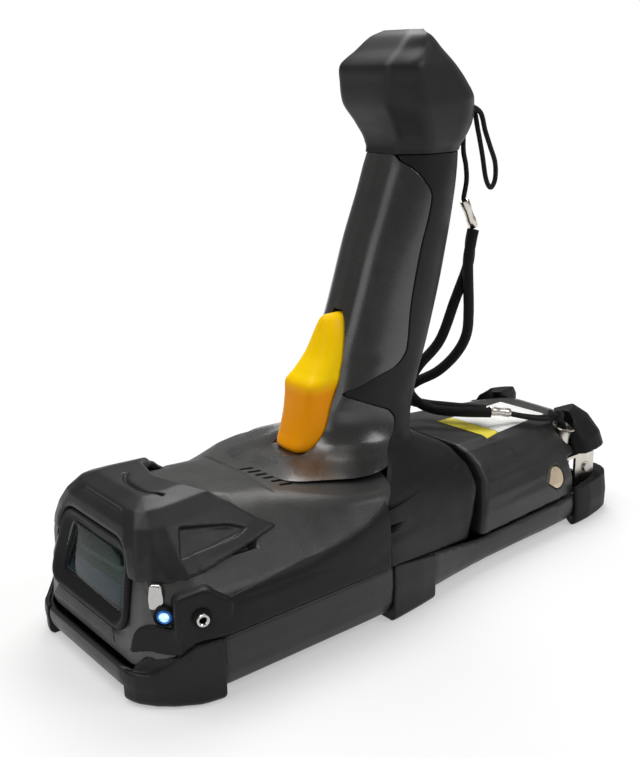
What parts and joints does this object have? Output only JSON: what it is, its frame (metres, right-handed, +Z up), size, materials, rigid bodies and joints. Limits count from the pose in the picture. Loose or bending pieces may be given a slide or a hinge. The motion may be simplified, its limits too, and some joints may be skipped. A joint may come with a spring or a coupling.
{
  "type": "portable barcode data terminal",
  "caption": "Portable barcode data terminal with a pistol grip, scan window in the nose, trigger, removable battery and doubled wrist lanyard, lying on its display side.",
  "frame": {"origin": "centre of the bounding box at the surface it lies on, without the cords", "axes": "+X to the side with the indicator, +Y from the scan window to the tail, +Z up through the grip"},
  "size_m": [0.0908, 0.2311, 0.193],
  "materials": {
    "shell_face": "textured",
    "shell_back": "textured",
    "soft_shell": "matte",
    "rubber": "matte",
    "glass": "clear",
    "module": "satin",
    "board": "satin",
    "bright": "polished",
    "lens": "clear",
    "nickel": "satin",
    "insert": "textured",
    "yellow": "satin",
    "steel": "satin",
    "pack": "textured",
    "cell": "gloss",
    "button": "satin",
    "contact": "polished",
    "panel": "satin",
    "bezel": "textured",
    "cord": "braided",
    "key": "satin"
  },
  "bodies": {
    "body": {"face_housing": "shell_face", "back_housing": "shell_back", "nose_boot": "soft_shell", "window_gasket": "rubber", "scan_window": "glass", "scan_engine": "module", "scan_board": "board", "light_guide": "bright", "indicator_lens": "lens", "headset_jack": "bright", "side_band_right": "rubber", "side_band_left": "rubber", "front_foot_right": "rubber", "front_foot_left": "rubber", "mid_foot_right": "rubber", "mid_foot_left": "rubber", "tail_bumper_right": "rubber", "tail_bumper_left": "rubber", "strap_bracket_right": "nickel", "strap_bracket_left": "nickel", "bracket_screws": "nickel", "grip_core": "insert", "grip_overmould": "rubber", "butt_cap": "rubber", "trigger_pin": "steel", "trigger_switch": "module", "battery_contacts": "contact", "main_board": "board", "display_module": "panel", "touch_window": "glass", "keypad_frame": "bezel", "keypad_board": "board", "housing_screws": "steel", "butt_cord": "cord", "spare_loop": "cord", "wrist_cord_a": "cord", "wrist_cord_b": "cord", "tether_cord": "cord", "cord_crimps": "bright"},
    "trigger": {"trigger": "yellow", "trigger_spring": "steel"},
    "battery": {"battery_case": "pack", "battery_base": "pack", "battery_cells": "cell", "ear_bumper_right": "rubber", "ear_bumper_left": "rubber"},
    "release_right": {"release_button_right": "button"},
    "release_left": {"release_button_left": "button"},
    "key_r1c1": {"key_r1c1": "key"},
    "key_r1c2": {"key_r1c2": "key"},
    "key_r1c3": {"key_r1c3": "key"},
    "key_r2c1": {"key_r2c1": "key"},
    "key_r2c2": {"key_r2c2": "key"},
    "key_r2c3": {"key_r2c3": "key"},
    "key_r3c1": {"key_r3c1": "key"},
    "key_r3c2": {"key_r3c2": "key"},
    "key_r3c3": {"key_r3c3": "key"},
    "key_r4c1": {"key_r4c1": "key"},
    "key_r4c2": {"key_r4c2": "key"},
    "key_r4c3": {"key_r4c3": "key"}
  },
  "joints": [
    {"name": "trigger_pull", "type": "hinge", "parent": "body", "child": "trigger", "pos_m": [0, -0.02, 0.057], "axis": [-1, 0, 0], "range_deg": [0, 7], "stiffness_Nm_per_rad": 0.3, "springref_deg": -14.32},
    {"name": "battery_lift", "type": "slide", "parent": "body", "child": "battery", "axis": [0, 0, 1], "range_m": [0, 0.0015]},
    {"name": "release_right_press", "type": "slide", "parent": "battery", "child": "release_right", "axis": [-1, 0, 0], "range_m": [0, 0.0015], "stiffness_N_per_m": 600, "springref_m": -0.0015},
    {"name": "release_left_press", "type": "slide", "parent": "battery", "child": "release_left", "axis": [1, 0, 0], "range_m": [0, 0.0015], "stiffness_N_per_m": 600, "springref_m": -0.0015},
    {"name": "key_r1c1_press", "type": "slide", "parent": "body", "child": "key_r1c1", "axis": [0, 0, 1], "range_m": [0, 0.0006], "stiffness_N_per_m": 900, "springref_m": -0.0004},
    {"name": "key_r1c2_press", "type": "slide", "parent": "body", "child": "key_r1c2", "axis": [0, 0, 1], "range_m": [0, 0.0006], "stiffness_N_per_m": 900, "springref_m": -0.0004},
    {"name": "key_r1c3_press", "type": "slide", "parent": "body", "child": "key_r1c3", "axis": [0, 0, 1], "range_m": [0, 0.0006], "stiffness_N_per_m": 900, "springref_m": -0.0004},
    {"name": "key_r2c1_press", "type": "slide", "parent": "body", "child": "key_r2c1", "axis": [0, 0, 1], "range_m": [0, 0.0006], "stiffness_N_per_m": 900, "springref_m": -0.0004},
    {"name": "key_r2c2_press", "type": "slide", "parent": "body", "child": "key_r2c2", "axis": [0, 0, 1], "range_m": [0, 0.0006], "stiffness_N_per_m": 900, "springref_m": -0.0004},
    {"name": "key_r2c3_press", "type": "slide", "parent": "body", "child": "key_r2c3", "axis": [0, 0, 1], "range_m": [0, 0.0006], "stiffness_N_per_m": 900, "springref_m": -0.0004},
    {"name": "key_r3c1_press", "type": "slide", "parent": "body", "child": "key_r3c1", "axis": [0, 0, 1], "range_m": [0, 0.0006], "stiffness_N_per_m": 900, "springref_m": -0.0004},
    {"name": "key_r3c2_press", "type": "slide", "parent": "body", "child": "key_r3c2", "axis": [0, 0, 1], "range_m": [0, 0.0006], "stiffness_N_per_m": 900, "springref_m": -0.0004},
    {"name": "key_r3c3_press", "type": "slide", "parent": "body", "child": "key_r3c3", "axis": [0, 0, 1], "range_m": [0, 0.0006], "stiffness_N_per_m": 900, "springref_m": -0.0004},
    {"name": "key_r4c1_press", "type": "slide", "parent": "body", "child": "key_r4c1", "axis": [0, 0, 1], "range_m": [0, 0.0006], "stiffness_N_per_m": 900, "springref_m": -0.0004},
    {"name": "key_r4c2_press", "type": "slide", "parent": "body", "child": "key_r4c2", "axis": [0, 0, 1], "range_m": [0, 0.0006], "stiffness_N_per_m": 900, "springref_m": -0.0004},
    {"name": "key_r4c3_press", "type": "slide", "parent": "body", "child": "key_r4c3", "axis": [0, 0, 1], "range_m": [0, 0.0006], "stiffness_N_per_m": 900, "springref_m": -0.0004}
  ]
}
